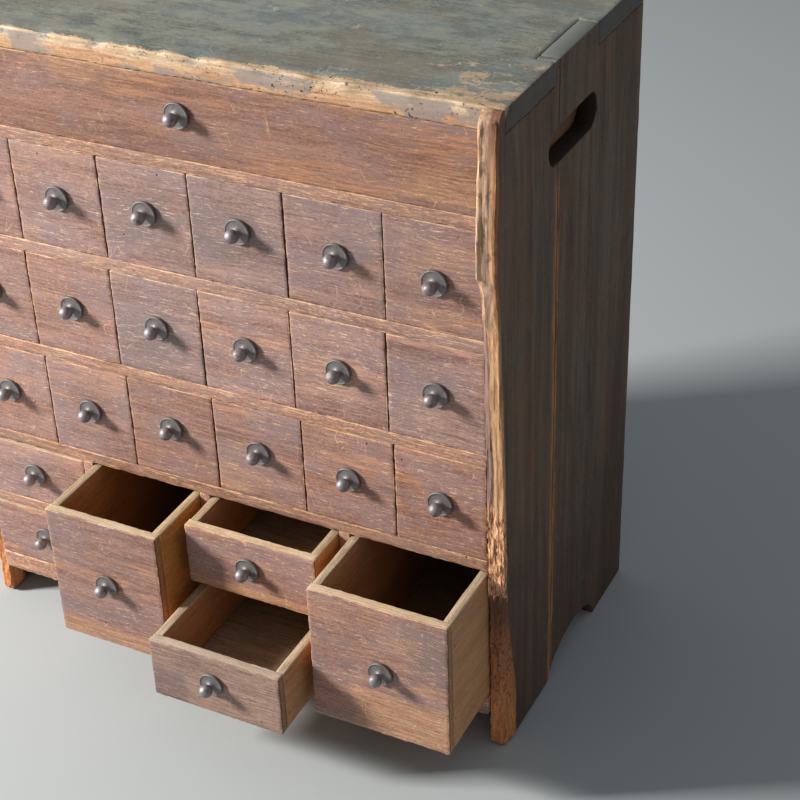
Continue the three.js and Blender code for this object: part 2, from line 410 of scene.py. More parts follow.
def wood_patterns():
    """The noises and distances that a wood finish draws on."""
    grain = kept("grain", "Vector")
    place = put("VectorMath", {0: grain, 1: kept("tree", "Vector")}, operation="ADD").outputs[0]
    sway = times_plus(cloud(place, (9, 16, 16), 2, 0.5), 0.014, -0.007)
    sideways = put("CombineXYZ", {1: sway}).outputs[0]
    place = put("VectorMath", {0: place, 1: sideways}, operation="ADD").outputs[0]
    tone = put("SeparateXYZ", {0: kept("tone", "Vector")}).outputs
    spot = put("SeparateXYZ", {0: put("TexCoord").outputs["Object"]}).outputs

    # The middle one of the distances to the plank's three pairs of faces is the way to an arris
    away = put("VectorMath", {0: grain}, operation="ABSOLUTE").outputs[0]
    depth = put("VectorMath", {0: kept("half", "Vector"), 1: away}, operation="SUBTRACT")
    to_end, to_edge, to_face = put("SeparateXYZ", {0: depth.outputs[0]}).outputs
    head = put("VectorMath", {0: kept("half", "Vector"), 1: grain}, operation="SUBTRACT")
    from_head = put("SeparateXYZ", {0: head.outputs[0]}).outputs[1]
    nearer = maths("MINIMUM", to_end, to_edge)
    farther = maths("MAXIMUM", to_end, to_edge)
    to_rim = maths("MAXIMUM", nearer, maths("MINIMUM", farther, to_face))

    return {
        "place": place, "to_rim": to_rim, "to_end": to_end, "tone": tone,
        "x": spot[0], "y": spot[1], "z": spot[2], "skin": kept("skin"), "soot": kept("soot"),
        "from_head": from_head,
        "fibre": cloud(place, (22, 430, 430), 5, 0.72, 0.2),
        "fine": cloud(place, (110, 900, 900), 3, 0.65),
        "dash": cloud(place, (84, 760, 760), 3, 0.72),
        "band": cloud(place, (3.2, 44, 44), 3, 0.6, 0.5),
        "blotch": cloud(place, (12, 22, 22), 4, 0.62, 0.3),
        "patch": cloud(place, (30, 60, 60), 3, 0.6),
        "speckle": cloud(place, (330, 520, 520), 3, 0.7),
    }


# %% Wood colours and marks
def stained(made, stain, dark, other, other_share):
    """Stained wood: darker in the open grain, with stains of another colour."""
    shade = times_plus(made["fibre"], 0.62, times(made["band"], 0.38))
    shade = times_plus(made["speckle"], 0.42, shade)
    colour = blend(fade(shade, 0.50, 0.88), dark, stain)
    share = times(fade(made["blotch"], 0.40, 0.64), other_share)
    return blend(share, colour, other)


def bare_wood(made, light, deep):
    shade = times_plus(made["fibre"], 0.7, times(made["speckle"], 0.3))
    return blend(fade(shade, 0.38, 0.62), deep, light)


def flecks(made, amount):
    """Short bright dashes along the grain, more of them on a plank whose third tone is high."""
    level = times_plus(made["tone"][2], 0.05, times(made["fine"], 0.72))
    level = times_plus(made["blotch"], 0.40, level)
    return times(fade(level, 0.60, 0.70), amount)


def scratches(made, amount):
    """Fine curved lines, where a second noise lets them show."""
    line = cloud(made["place"], (36, 14, 14), 2, 0.5, 0.7)
    line = maths("ABSOLUTE", minus(line, 0.5))
    shown = fade(cloud(made["place"], (60, 60, 60), 3, 0.6), 0.50, 0.60)
    return times(times(fade(line, 0.0, 0.006, 1, 0), shown), amount)


def worn_rim(made, width, amount):
    """The arris, with a ragged inner limit."""
    ragged = times_plus(made["patch"], width * 3.0, -width * 1.5)
    ragged = times_plus(made["speckle"], width * 0.8, ragged)
    return fade(minus(made["to_rim"], ragged), 0.0, width * 0.6, amount, 0)


def holes(made, share, scale=110.0, size=0.11):
    """Worm holes: a few cells of a cell pattern have a dark dot in the middle."""
    cells = put("TexVoronoi", {"Vector": made["place"], "Scale": scale}, feature="F1")
    rare = put("SeparateColor", {0: cells.outputs["Color"]}).outputs[0]
    chosen = maths("LESS_THAN", rare, share)
    return times(fade(cells.outputs["Distance"], size * 0.6, size * 1.2, 1, 0), chosen)


# %% From colour to finish
hole_colour = (0.012, 0.008, 0.006, 1)


def any_of(*masks):
    most = masks[0]
    for mask in masks[1:]:
        most = maths("MAXIMUM", most, mask)
    return most


def start_finish(name):
    """An empty material, whose tree the helpers add to from now on."""
    global tree
    finish = bpy.data.materials.new(name)
    finish.use_nodes = True
    tree = finish.node_tree
    tree.nodes.clear()
    return finish


def end_finish(made, colour, marks, hole, roughness, relief):
    """Add each plank's tone, its painted shade and dirt, and its holes, and join the shader to the
    output.
    """
    bright = times_plus(made["tone"][0], 0.20, 1.0)
    hue = times_plus(made["tone"][1], 0.004, 0.5)
    warmth = times_plus(made["tone"][1], 0.20, 1.0)
    toned = put("HueSaturation", {"Hue": hue, "Saturation": warmth, "Value": bright, "Color": colour})
    # Painted shade, with some dirt: near black by each point's kept share, in hand holds, gaps and deep
    # in drawers
    colour = blend(made["soot"], toned.outputs[0], (0.022, 0.013, 0.008, 1))
    colour = blend(hole, colour, hole_colour)

    height = times_plus(made["fibre"], 0.6, times(made["fine"], 0.35))
    height = times_plus(made["speckle"], 0.25, height)
    height = times_plus(hole, -3.0, height)
    height = times_plus(marks, -0.25, height)
    bump = put("Bump", {"Strength": relief, "Distance": 0.0007, "Height": height})
    shader = put("BsdfPrincipled", {
        "Base Color": colour,
        "Roughness": fade(made["fibre"], 0.3, 0.7, roughness - 0.1, roughness + 0.1),
        "Normal": bump.outputs[0],
    })
    shader.inputs["Specular IOR Level"].default_value = 0.35
    out = put("OutputMaterial")
    tree.links.new(shader.outputs[0], out.inputs[0])


def wood_finish(name, layers):
    """A finish from a function that lays colours and marks over the wood's patterns. It returns the
    colour, the marks, the holes, the roughness and how strongly the relief shows."""
    finish = start_finish(name)
    made = wood_patterns()
    end_finish(made, *layers(made))
    return finish


# %% Drawer fronts: stained on the face alone
def front_layers(made):
    colour = stained(made, sRGB(168, 130, 116), sRGB(106, 76, 67), sRGB(140, 120, 120), 0.6)
    wide = cloud(made["place"], (9, 34, 34), 4, 0.62, 0.4)
    rubbed = times(fade(wide, 0.52, 0.66), fade(made["fibre"], 0.36, 0.62))
    colour = blend(times(rubbed, 0.7), colour, sRGB(190, 138, 108))
    bare = bare_wood(made, sRGB(228, 190, 156), sRGB(200, 152, 116))

    # Where the stain has gone, and where it has turned grey
    feather = times_plus(made["blotch"], 1.1, -0.55)
    feather = times_plus(made["fibre"], 0.5, minus(feather, 0.25))
    lost = put("SeparateXYZ", {0: kept("lost", "Vector")}).outputs
    dull = fade(maths("ADD", lost[1], feather), 0.25, 0.75)
    colour = blend(times(dull, 0.6), colour, sRGB(124, 104, 98))
    pale = bare_wood(made, sRGB(190, 148, 120), sRGB(150, 112, 88))
    gone = fade(maths("ADD", lost[0], feather), 0.25, 0.75)
    colour = blend(times(gone, 0.85), colour, pale)

    # Short dashes of bare wood, in crowds, and dark pores between them
    crowd = fade(made["blotch"], 0.38, 0.60, 0.45, 1.0)
    worn_more = times_plus(made["tone"][2], -0.03, 0.595)
    dash = minus(made["dash"], worn_more)
    dashes = times(fade(dash, 0.0, 0.05), times(crowd, 0.8))
    marks = any_of(dashes, scratches(made, 0.6))
    pores = times(fade(made["fine"], 0.42, 0.34), 0.5)
    colour = blend(pores, colour, sRGB(76, 54, 48))
    colour = blend(marks, colour, bare)
    edge_share = fade(made["patch"], 0.40, 0.56, 0.15, 0.85)
    rim = times(worn_rim(made, 0.0009, 1.0), edge_share)
    colour = blend(rim, colour, bare)

    # The ends and the back are unstained, behind a thin stained lip; the head has been rubbed pale
    ends = bare_wood(made, sRGB(188, 142, 100), sRGB(144, 102, 70))
    lip = fade(made["skin"], 0.0020, 0.0028, 1, 0)
    ends = blend(lip, ends, sRGB(92, 62, 46))
    head = bare_wood(made, sRGB(214, 192, 164), sRGB(184, 156, 126))
    raw = blend(fade(made["from_head"], 0.0010, 0.0022, 1, 0), ends, head)
    colour = blend(fade(made["skin"], 0.0008, 0.0018), colour, raw)
    return colour, marks, holes(made, 0.02), 0.66, 0.6


# %% Drawer boxes: unstained, pale on the arrises
def box_layers(made):
    colour = stained(made, sRGB(202, 147, 95), sRGB(141, 95, 58), sRGB(173, 124, 82), 0.5)
    bare = bare_wood(made, sRGB(216, 192, 156), sRGB(188, 156, 118))
    marks = any_of(flecks(made, 0.3), scratches(made, 0.2))
    colour = blend(marks, colour, bare)
    near_head = fade(made["from_head"], 0.006, 0.010, 1, 0)
    rim = times(worn_rim(made, 0.0016, 0.8), near_head)
    colour = blend(rim, colour, bare)
    head = bare_wood(made, sRGB(190, 168, 138), sRGB(146, 124, 98))
    on_head = fade(made["from_head"], 0.0016, 0.0026, 0.95, 0)
    colour = blend(on_head, colour, head)
    return colour, marks, holes(made, 0.012), 0.7, 0.45


# %% Shelves and dividers
def shelf_layers(made):
    colour = stained(made, sRGB(182, 140, 120), sRGB(110, 78, 64), sRGB(152, 126, 120), 0.5)
    bare = bare_wood(made, sRGB(236, 192, 154), sRGB(206, 152, 112))
    dashes = times(fade(made["dash"], 0.55, 0.62), 0.75)
    marks = any_of(dashes, scratches(made, 0.4))
    colour = blend(marks, colour, bare)
    edge_share = fade(made["patch"], 0.38, 0.56, 0.35, 0.9)
    rim = times(worn_rim(made, 0.0011, 1.0), edge_share)
    colour = blend(rim, colour, bare)
    return colour, marks, holes(made, 0.02), 0.68, 0.55


# %% Sides: dark outside, raw and split along the front edge, rubbed pale along the joint
foot_line = 0.195        # below this height the front edge has broken away and darkened


def raw_edge(made):
    """The front edge, by height: cream, grey and orange ridges above, tan beside old stain in the
    middle, torn fibres under that, and a brown pitted foot."""
    inward = times_plus(made["patch"], 0.006, minus(made["skin"], 0.003))
    long_split = cloud(made["place"], (7, 330, 330), 4, 0.68, 0.15)
    streak = fade(long_split, 0.36, 0.62)
    fine_streak = fade(made["fibre"], 0.34, 0.66)
    streak = times_plus(streak, 0.45, times(fine_streak, 0.55))
    cream = blend(streak, sRGB(176, 130, 92), sRGB(224, 186, 146))
    orange = blend(streak, sRGB(136, 88, 58), sRGB(210, 152, 104))
    grey = blend(streak, sRGB(126, 98, 82), sRGB(192, 156, 126))
    upper = blend(fade(inward, 0.0040, 0.0070), orange, grey)
    upper = blend(fade(inward, 0.0138, 0.0158), upper, cream)
    near_top = times(fade(made["z"], 0.635, 0.675), fade(inward, 0.012, 0.008))
    upper = blend(times(near_top, 0.85), upper, sRGB(118, 78, 56))
    knock = fade(cloud(made["place"], (70, 110, 110), 4, 0.65), 0.53, 0.66, 0, 0.7)
    upper = blend(knock, upper, sRGB(112, 76, 54))

    tan = blend(streak, sRGB(148, 102, 70), sRGB(212, 166, 122))
    old_stain = blend(streak, sRGB(104, 78, 72), sRGB(146, 114, 102))
    middle = blend(fade(inward, 0.0112, 0.0122), tan, old_stain)
    torn = blend(fade(made["dash"], 0.42, 0.60), sRGB(140, 84, 54), sRGB(238, 186, 142))
    foot = blend(fade(made["z"], 0.02, 0.14), sRGB(212, 136, 80), sRGB(164, 108, 70))
    foot = blend(fade(made["fibre"], 0.56, 0.40, 0, 0.5), foot, sRGB(98, 64, 44))
    foot = blend(fade(made["speckle"], 0.45, 0.36, 0, 0.6), foot, sRGB(70, 46, 32))
    foot = blend(fade(made["z"], 0.13, 0.18, 0, 0.7), foot, sRGB(84, 60, 46))
    pits = fade(cloud(made["place"], (190, 230, 230), 3, 0.65), 0.57, 0.62, 0, 0.75)
    pits = times(pits, fade(made["z"], 0.04, 0.10, 0.3, 1))
    foot = blend(pits, foot, sRGB(60, 38, 27))

    ragged = times_plus(long_split, 0.07, minus(made["z"], 0.035))
    colour = blend(fade(ragged, 0.49, 0.52), middle, upper)
    colour = blend(fade(ragged, 0.31, 0.29), colour, torn)
    colour = blend(fade(ragged, foot_line + 0.004, foot_line - 0.004), colour, foot)
    crack = maths("ABSOLUTE", minus(long_split, 0.47))
    crack = times(fade(crack, 0.0, 0.014, 1, 0), fade(made["patch"], 0.44, 0.54))
    return blend(times(crack, 0.7), colour, sRGB(84, 54, 38))


def side_layers(made):
    colour = stained(made, sRGB(134, 110, 90), sRGB(60, 45, 36), sRGB(108, 98, 90), 0.5)
    upright = fade(cloud(made["place"], (2.2, 70, 70), 5, 0.74), 0.42, 0.58)
    colour = blend(times(upright, 0.6), colour, sRGB(78, 58, 45))
    smear = fade(cloud(made["place"], (7, 16, 16), 4, 0.65, 0.5), 0.50, 0.64, 0, 0.45)
    colour = blend(smear, colour, sRGB(128, 92, 66))
    lower = fade(made["z"], 0.30, 0.06)
    colour = blend(times(lower, 0.6), colour, sRGB(70, 48, 37))
    worn = bare_wood(made, sRGB(204, 142, 90), sRGB(156, 100, 60))
    crowd = fade(made["blotch"], 0.45, 0.60, 0, 0.6)
    dashes = times(fade(made["dash"], 0.60, 0.67), crowd)
    marks = any_of(dashes, scratches(made, 0.2))
    colour = blend(marks, colour, worn)

    # Rubbed along the joint between the planks, below the hand hold
    seam = front_plane + seam_setback
    from_seam = maths("ABSOLUTE", minus(made["y"], seam - 0.002))
    feather = times_plus(made["patch"], 0.009, -0.0015)
    rubbed = fade(minus(from_seam, feather), -0.0005, 0.0050, 0.85, 0)
    rubbed = times(rubbed, fade(made["z"], 0.605, 0.57))
    rubbed = times(rubbed, fade(made["fibre"], 0.30, 0.55, 0.35, 1.0))
    colour = blend(rubbed, colour, worn)
    at_joint = fade(maths("ABSOLUTE", minus(made["y"], seam)), 0.0004, 0.0012, 1, 0)
    colour = blend(at_joint, colour, sRGB(34, 26, 22))

    # The finger's end has the same grey paint as the top
    further = fade(made["y"], front_plane + 0.02, front_plane + 0.03)
    on_head = times(fade(made["z"], top_face - 0.0012, top_face - 0.0004), further)
    colour = blend(on_head, colour, sRGB(112, 114, 106))

    # The front edge reaches further round the outer corner at the foot
    reach = fade(made["z"], 0.20, 0.03, 0.0034, 0.022)
    behind_edge = kept("edge")
    ragged = times_plus(made["fibre"], 0.008, minus(behind_edge, 0.004))
    on_edge = fade(minus(ragged, reach), -0.0022, 0.0022, 1, 0)
    lip_head = times(fade(made["z"], top_face - 0.012, top_face - 0.005),
                     fade(made["y"], front_plane + 0.003, front_plane))
    colour = blend(any_of(on_edge, lip_head), colour, raw_edge(made))
    return colour, marks, holes(made, 0.03), 0.66, 0.7


# %% Top: grey paint, raw and wormed along the front
def top_layers(made):
    colour = stained(made, sRGB(142, 140, 126), sRGB(74, 80, 75), sRGB(108, 122, 122), 0.6)
    mottle = fade(cloud(made["place"], (26, 40, 40), 5, 0.74), 0.42, 0.60)
    colour = blend(times(mottle, 0.45), colour, sRGB(158, 156, 140))
    smudge = fade(cloud(made["place"], (9, 20, 20), 4, 0.6, 0.4), 0.50, 0.64, 0, 0.5)
    colour = blend(smudge, colour, sRGB(122, 108, 90))
    bare = bare_wood(made, sRGB(204, 178, 146), sRGB(170, 138, 106))
    dashes = times(fade(made["dash"], 0.60, 0.67), 0.35)
    marks = any_of(dashes, scratches(made, 0.55))
    colour = blend(marks, colour, sRGB(188, 184, 166))

    # How far the paint has gone from the front edge: little at the left, a finger's width at the right
    behind = minus(made["y"], front_plane)
    gone = fade(made["x"], -0.05, 0.24, 0.0020, 0.0095)
    ragged = times_plus(made["patch"], 0.014, -0.0070)
    ragged = times_plus(made["speckle"], 0.008, minus(ragged, 0.004))
    lost = fade(minus(minus(behind, gone), ragged), 0.0, 0.0012, 1, 0)

    # Flakes lost near the right front corner
    to_corner = maths("ADD", minus(top_high.x, made["x"]), behind)
    flake = times_plus(to_corner, -1.6, made["patch"])
    flake = times_plus(made["speckle"], 0.35, flake)
    flake = fade(flake, 0.555, 0.585, 0, 0.85)
    bare_share = any_of(lost, flake)

    # The front edge itself: cream above, orange below, with a few grey patches of old paint
    low_half = times_plus(made["patch"], 0.016, minus(made["skin"], 0.008))
    orange = bare_wood(made, sRGB(204, 152, 108), sRGB(158, 108, 74))
    edge = blend(fade(low_half, 0.008, 0.014, 0, 0.7), bare, orange)
    grey_share = fade(made["blotch"], 0.50, 0.56, 0, 0.8)
    edge = blend(grey_share, edge, sRGB(136, 124, 118))
    face = fade(made["skin"], 0.0025, 0.0040)
    colour = blend(bare_share, colour, blend(face, bare, edge))
    ends = fade(made["to_end"], 0.0006, 0.0014, 0.85, 0)
    colour = blend(ends, colour, sRGB(74, 68, 60))

    # Worm has opened the bare front in irregular pits, more of them to the right
    pit = fade(cloud(made["place"], (260, 300, 300), 3, 0.7), 0.60, 0.65)
    pit = times(pit, times(lost, fade(made["x"], -0.10, 0.12, 0.3, 1)))
    pit = times(pit, fade(made["patch"], 0.44, 0.56))
    return colour, marks, any_of(pit, holes(made, 0.006)), 0.5, 0.6


# %% Back: sawn boards, never stained
def back_layers(made):
    colour = stained(made, sRGB(158, 126, 94), sRGB(104, 78, 56), sRGB(132, 116, 102), 0.6)
    bare = bare_wood(made, sRGB(196, 166, 130), sRGB(166, 130, 96))
    marks = any_of(flecks(made, 0.5), scratches(made, 0.3))
    colour = blend(marks, colour, bare)
    colour = blend(worn_rim(made, 0.0012, 0.85), colour, sRGB(66, 48, 36))
    return colour, marks, holes(made, 0.02), 0.8, 0.7


# %% Make the wood finishes
seam_setback = 0.116     # from the front plane to the joint between a side's two planks
front_wood = wood_finish("drawer_front_wood", front_layers)
box_wood = wood_finish("drawer_box_wood", box_layers)
shelf_wood = wood_finish("shelf_wood", shelf_layers)
side_wood = wood_finish("side_wood", side_layers)
top_wood = wood_finish("top_wood", top_layers)
back_wood = wood_finish("back_wood", back_layers)
print("wood finishes:", [m.name for m in bpy.data.materials if m.name.endswith("wood")])

# %% The iron finish: grey and dull on the rose, brown and rubbed bright on the ball
def iron_finish():
    finish = start_finish("dark_iron")
    place = put("TexCoord").outputs["Object"]
    rust = fade(cloud(place, (150, 150, 150), 4, 0.65), 0.50, 0.66)
    grit = cloud(place, (700, 700, 700), 3, 0.6)
    rose = kept("rose")
    ball_colour = blend(rust, sRGB(140, 134, 136), sRGB(112, 90, 84))
    rose_colour = blend(times(rust, 0.7), sRGB(112, 106, 104), sRGB(88, 76, 72))
    colour = blend(rose, ball_colour, rose_colour)
    bump = put("Bump", {"Strength": 0.4, "Distance": 0.0003, "Height": grit})
    shader = put("BsdfPrincipled", {
        "Base Color": colour,
        "Roughness": times_plus(rose, 0.02, fade(rust, 0.0, 1.0, 0.54, 0.64)),
        "Metallic": times_plus(rose, -0.35, 0.65),
        "Normal": bump.outputs[0],
    })
    out = put("OutputMaterial")
    tree.links.new(shader.outputs[0], out.inputs[0])
    return finish


iron = iron_finish()

# %% [markdown]
# ## Drawers
# A drawer is a front board nailed over two sides, with a back and a floor between them. The front of a
# small drawer is wider than its box, because it also hides half of the divider on each side. The
# eighteen small drawers are alike, so their front is shaped once and copied. Each copy is then worn by
# itself, and its corners are moved a hair, as no hand-cut front is quite square. Each front also keeps
# where its stain has gone or turned grey, because years of hands and damp have left no two alike.

# %% Sizes of a drawer's boards
front_thickness = 0.011
box_thickness = 0.009
floor_thickness = 0.006
half_divider = 0.004
joint = 0.0002           # between boards of one drawer
side_drop, back_drop = 0.0004, 0.0006    # of the box's boards under the head of the drawer
side_gap = 0.0009        # between a drawer and the boards beside it
end_growth = 0.00025     # a front reaches this much closer to its neighbour than the box does
head_growth = 0.0005
tight_pairs = {"upper_drawer_5": (0, 0.0002), "upper_drawer_6": (0.0002, 0)}   # more to left, right
front_arris = 0.0011
patch_feather = 0.12     # how softly a patch of lost stain ends, as a share of the front


# %% A worn front
def shape_front(name, low, high, step):
    piece = start_block(name, low, high)
    cut_grid(piece, (step, 0.0037, step))
    round_arrises(piece, front_arris)
    return piece


def nudge_corners(piece, low, high, most, luck):
    """Trim the front's ends a little out of square, as hand-cut ends are."""
    places = points_of(piece)
    across = (places[:, 0] - low.x) / (high.x - low.x)
    up = (places[:, 2] - low.z) / (high.z - low.z)
    trims = [luck.uniform(-most, most) for _ in range(4)]
    left = trims[0] * (1 - up) + trims[1] * up
    right = trims[2] * (1 - up) + trims[3] * up
    places[:, 0] += left * (1 - across) + right * across
    places[:, 1] += np.sin(up * math.pi) * luck.uniform(-0.0002, 0.0003)
    move_points(piece, places)


def patch_share(across, up, patch):
    """1 within a patch of the front, falling softly to 0 outside it."""
    left, foot, right, head, amount = patch
    outside = np.maximum(np.maximum(left - across, across - right), np.maximum(foot - up, up - head))
    return amount * np.clip(1 - outside / patch_feather, 0, 1)


def wear_front(piece, low, high, name):
    tone = tone_of(name)
    luck = random.Random(piece.name)
    weigh(piece, "rim", rim_nearness(piece, low, high, 0.004))
    wear_down(piece, chip_pattern, 0.0005, "rim")
    wear_down(piece, dent_pattern, 0.0003)
    apply_all(piece)
    keep_within(piece, low, high)
    nudge_corners(piece, low, high, 0.00025, luck)
    places = points_of(piece)

    # Painted shade and some dirt on the front's inner face, lower down; painted shade in the gaps at its
    # ends
    behind = places[:, 1] - low.y
    inside = np.clip((behind - 0.009) / 0.0015, 0, 1)
    below = np.clip((high.z - places[:, 2] - 0.002) / 0.05, 0, 1)
    soot = inside * below * 0.35
    if "base" not in name:
        at_end = np.minimum(places[:, 0] - low.x, high.x - places[:, 0]) < 0.0012
        soot = np.maximum(soot, at_end * np.clip((behind - 0.0016) / 0.0015, 0, 1) * 0.9)
    keep_grain(piece, low, high, "x", tone, "-y", soot)

    across = (places[:, 0] - low.x) / (high.x - low.x)
    up = (places[:, 2] - low.z) / (high.z - low.z)
    lost = np.zeros((len(places), 3))
    for column, patches in enumerate((bare_places, grey_places)):
        for patch in patches.get(name, ()):
            lost[:, column] = np.maximum(lost[:, column], patch_share(across, up, patch))
    store(piece, "lost", lost)
    smooth(piece)


# %% Tones of the fronts: lightness, warmth and wear
front_tones = {
    "top_drawer": (-0.9, 0.9, 0.1),
    "upper_drawer_3": (-0.3, -0.5, 0.1),
    "upper_drawer_4": (-0.6, -0.8, 0.0),
    "upper_drawer_5": (-0.6, -0.4, 0.0),
    "upper_drawer_6": (-0.5, 0.2, 0.3),
    "middle_drawer_3": (-0.2, -0.8, 0.1),
    "middle_drawer_4": (0.4, -0.1, 0.3),
    "middle_drawer_5": (0.3, 0.0, 0.4),
    "middle_drawer_6": (0.0, -0.3, 0.2),
    "lower_drawer_3": (-0.5, 0.3, 0.1),
    "lower_drawer_5": (0.1, 0.6, 0.1),
    "lower_drawer_6": (0.3, 0.8, 0.1),
    "base_drawer_2": (-0.6, 0.2, 0.1),
    "base_drawer_3_lower": (-1.3, -0.8, 0.3),
    "base_drawer_3_upper": (0.1, 0.5, 0.1),
    "base_drawer_4": (0.0, 0.3, 0.2),
}

# Patches of a front that have lost their stain, and patches that have turned grey. Each gives its left,
# foot, right and head as shares of the front's width and height, and then how strong it is
bare_places = {
    "top_drawer": [(0.30, 0.75, 0.42, 1.1, 0.5), (0.90, 0.1, 1.1, 0.5, 0.5)],
    "upper_drawer_6": [(0.2, 0.3, 0.8, 0.8, 0.35)],
    "middle_drawer_5": [(0.1, 0.2, 0.7, 0.6, 0.4)],
    "middle_drawer_6": [(0.3, -0.1, 1.1, 0.3, 0.4)],
    "lower_drawer_4": [(-0.1, -0.1, 0.6, 0.3, 0.4)],
    "base_drawer_2": [(-0.1, -0.1, 1.1, 0.10, 0.7)],
    "base_drawer_3_upper": [(0.10, -0.1, 1.1, 0.10, 1.0)],
    "base_drawer_3_lower": [(-0.1, 0.60, 1.1, 1.1, 0.6), (0.30, -0.1, 1.1, 0.5, 0.75)],
    "base_drawer_4": [(0.35, -0.1, 1.1, 0.28, 0.85), (0.15, 0.62, 0.75, 0.80, 0.3)],
}
grey_places = {
    "upper_drawer_3": [(0.1, 0.2, 0.9, 0.8, 0.5)],
    "upper_drawer_4": [(-0.1, 0.3, 0.7, 0.9, 0.5)],
    "middle_drawer_3": [(-0.1, -0.1, 0.8, 0.5, 0.5)],
    "base_drawer_3_lower": [(-0.1, 0.28, 0.35, 0.48, 0.9)],
    "base_drawer_4": [(0.75, 0.55, 1.1, 0.90, 0.8), (-0.1, 0.45, 0.3, 0.75, 0.5)],
}


def tone_of(name):
    luck = random.Random("tone " + name)
    usual = [luck.uniform(-0.25, 0.25) for _ in range(3)]
    return front_tones.get(name, tuple(usual))


# %% The box behind a front
def plain_board(name, low, high, along, step=0.03, arris=0.0008, depth=0.0005, tone=(0, 0, 0),
                shade_and_dirt_of=None):
    """A board of which little is seen: a coarse grid, rounded and a little worn."""
    piece = start_block(name, low, high)
    size = Vector(high) - Vector(low)
    thin = min(size)
    cut_grid(piece, [max(step, 0.1) if length == thin else step for length in size])
    round_arrises(piece, arris)
    wear_down(piece, dent_pattern, depth)
    apply_all(piece)
    soot = shade_and_dirt_of(points_of(piece)) if shade_and_dirt_of else None
    keep_grain(piece, low, high, along, tone, soot=soot)
    smooth(piece)
    return piece


def drawer_box(name, body, low, high, left, right):
    """The two sides, the back and the floor behind a drawer's front."""
    luck = random.Random("box " + name)
    start = low.y + front_thickness + joint
    inner_l, inner_r = left + box_thickness, right - box_thickness

    def box_shade_and_dirt(places):
        """Painted shade and some dirt on the faces that look into the drawer, darker further down and
        further back. The full-width drawer gets painted shade outside too, where the hand holds show it."""
        below = np.clip((high.z - places[:, 2] - 0.002) / 0.08, 0, 1)
        into = 0.003
        within = (places[:, 0] > inner_l - into) & (places[:, 0] < inner_r + into)
        within &= places[:, 1] < high.y - box_thickness + into
        within &= places[:, 2] > low.z + floor_thickness - into
        behind = np.clip((places[:, 1] - low.y - 0.07) / 0.16, 0, 1)
        # Painted shade on the outer sides of the full-width drawer, darker towards the back
        outside = 0.5 * behind if name == "top_drawer" else 0
        return np.where(within, 0.12 * below + 0.55 * behind, outside) * (below > 0)

    boards = {
        "side_left": ((left, start, low.z), (inner_l, high.y, high.z - side_drop), "y"),
        "side_right": ((inner_r, start, low.z), (right, high.y, high.z - side_drop), "y"),
        "back": ((inner_l + joint, high.y - box_thickness, low.z),
                 (inner_r - joint, high.y, high.z - back_drop), "x"),
        "floor": ((inner_l + joint, start, low.z),
                  (inner_r - joint, high.y - box_thickness - joint, low.z + floor_thickness), "x"),
    }
    for part, (first, last, along) in boards.items():
        tone = (luck.uniform(-0.5, 0.3), luck.uniform(-0.4, 0.5), 0)
        board = plain_board(f"{name}_{part}", first, last, along, 0.012, 0.0009, 0.0004, tone, box_shade_and_dirt)
        hand_over(board, body, "drawer_wood", box_wood, name)


# %% Nails
nail_radius = 0.0014
nail_length = 0.0013     # of the head and the part of the shank that is made
nail_depth = 0.0006      # of the nail's middle under the face


def nail_heads(name, body, places, facing, node):
    """Round nail heads, almost flush, joined in one piece. facing is the direction they look."""
    heads = []
    turn_to = Vector(facing).to_track_quat("Z", "Y").to_euler()
    for place in places:
        bpy.ops.object.select_all(action="DESELECT")
        middle = Vector(place) - Vector(facing) * nail_depth
        bpy.ops.mesh.primitive_cylinder_add(
            vertices=12, radius=nail_radius, depth=nail_length, location=middle, rotation=turn_to)
        bpy.ops.object.transform_apply(location=True, rotation=True, scale=True)
        round_arrises(bpy.context.object, 0.0003, 2)
        heads.append(bpy.context.object)
    bpy.ops.object.select_all(action="DESELECT")
    for head in heads:
        head.select_set(True)
    bpy.context.view_layer.objects.active = heads[0]
    bpy.ops.object.join()
    piece = bpy.context.object
    piece.name = name
    piece.data.name = name
    store(piece, "rose", np.ones(len(piece.data.vertices)))
    smooth(piece, 30)
    return hand_over(piece, body, "dark_iron", iron, node)


def drawer_nails(name, body, low, high, left, right):
    """Nails through each side of a drawer into its front and its back."""
    rise = high.z - low.z
    for side, face, facing in (("left", left, (-1, 0, 0)), ("right", right, (1, 0, 0))):
        places = [(face, y, low.z + rise * share)
                  for y in (low.y + front_thickness + 0.005, high.y - 0.0045) for share in (0.22, 0.80)]
        nail_heads(f"{name}_nails_{side}", body, places, facing, name)


# %% Build the drawers
drawer_names = sorted(n for n in frame["nodes"] if "drawer" in n and not n.endswith("_knob"))
body_of_node = {n: b for b, nodes in frame["record"]["behaviour"]["bodies"].items() for n in nodes}
small_low, small_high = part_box("upper_drawer_2")
small_high.y = small_low.y + front_thickness
small_pattern = shape_front("small_front_pattern", small_low, small_high, 0.0036)

for name in drawer_names:
    low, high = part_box(name)
    more_left, more_right = tight_pairs.get(name, (0, 0))
    front_low = Vector((low.x - end_growth - more_left, low.y, low.z))
    front_high = Vector((high.x + end_growth + more_right, low.y + front_thickness, high.z + head_growth))
    small = name.split("_")[0] in ("upper", "middle", "lower")
    if small:
        column = int(name[-1])
        piece = copy_piece(small_pattern, f"{name}_front", (0, 0, 0))
        places = points_of(piece)
        places = np.array(front_low) + (places - np.array(small_low)) * (
            (np.array(front_high) - np.array(front_low)) / (np.array(small_high) - np.array(small_low)))
        move_points(piece, places)
    else:
        piece = shape_front(f"{name}_front", front_low, front_high, 0.004)
    wear_front(piece, front_low, front_high, name)
    hand_over(piece, body_of_node[name], "drawer_wood", front_wood, name)
    left = low.x + (half_divider if small and column > 1 else 0)
    right = high.x - (half_divider if small and column < 6 else 0)
    drawer_box(name, body_of_node[name], low, high, left, right)
    drawer_nails(name, body_of_node[name], low, high, left, right)

bpy.data.objects.remove(small_pattern)
print("drawers:", len(drawer_names))

